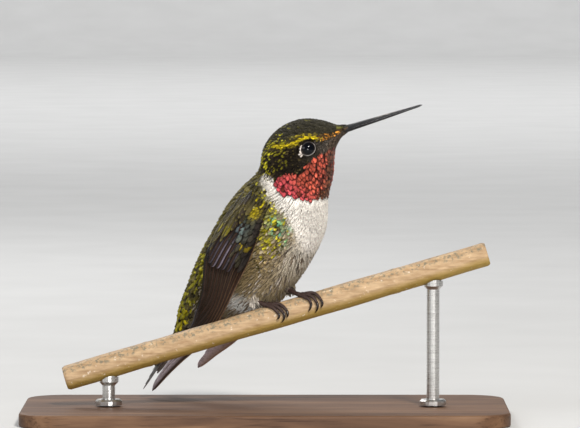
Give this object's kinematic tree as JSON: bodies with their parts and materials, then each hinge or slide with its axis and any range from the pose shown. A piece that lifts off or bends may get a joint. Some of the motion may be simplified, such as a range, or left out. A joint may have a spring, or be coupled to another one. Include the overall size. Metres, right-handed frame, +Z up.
{
  "type": "perched ruby-throated hummingbird",
  "caption": "Life-size male hummingbird gripping a short sloping length of cane, wings folded and head turned, held by slim rods on a flat display base.",
  "frame": {"origin": "middle of the underside of the stand's base", "axes": "+X along the base, towards the raised end of the perch and the side the bird faces; -Y towards the side from which its right flank shows; +Z up"},
  "size_m": [0.084, 0.0421, 0.0552],
  "materials": {
    "crown_feathers": "fine short feathers, dull green-brown with gold flecks, red throat",
    "back_feathers": "green-bronze body feathers with a metallic sheen",
    "belly_feathers": "soft pale grey-brown feathers, white on the upper breast",
    "flight_feathers": "smooth dark brown vanes with a faint purple gloss",
    "bill_horn": "satin black horn",
    "eye": "wet black gloss",
    "leg_skin": "scaly dark purple-brown skin with glossy black claws",
    "cane": "dry tan stem with grey flecks",
    "base_wood": "satin walnut",
    "rod_steel": "satin steel"
  },
  "bodies": {
    "root": {"head": "crown_feathers", "bill_upper": "bill_horn", "bill_lower": "bill_horn", "eye_left": "eye", "eye_right": "eye", "neck": "back_feathers", "trunk": "belly_feathers", "rump": "back_feathers", "tail_left": "flight_feathers", "tail_right": "flight_feathers", "wing_left_arm": "back_feathers", "wing_left_secondaries": "flight_feathers", "wing_left_primaries": "flight_feathers", "wing_right_arm": "back_feathers", "wing_right_secondaries": "flight_feathers", "wing_right_primaries": "flight_feathers", "thigh_left": "belly_feathers", "thigh_right": "belly_feathers", "tarsus_left": "leg_skin", "tarsus_right": "leg_skin", "foot_left": "leg_skin", "foot_right": "leg_skin", "perch": "cane", "stand_base": "base_wood", "stand_rod_left": "rod_steel", "stand_rod_right": "rod_steel"}
  },
  "joints": []
}
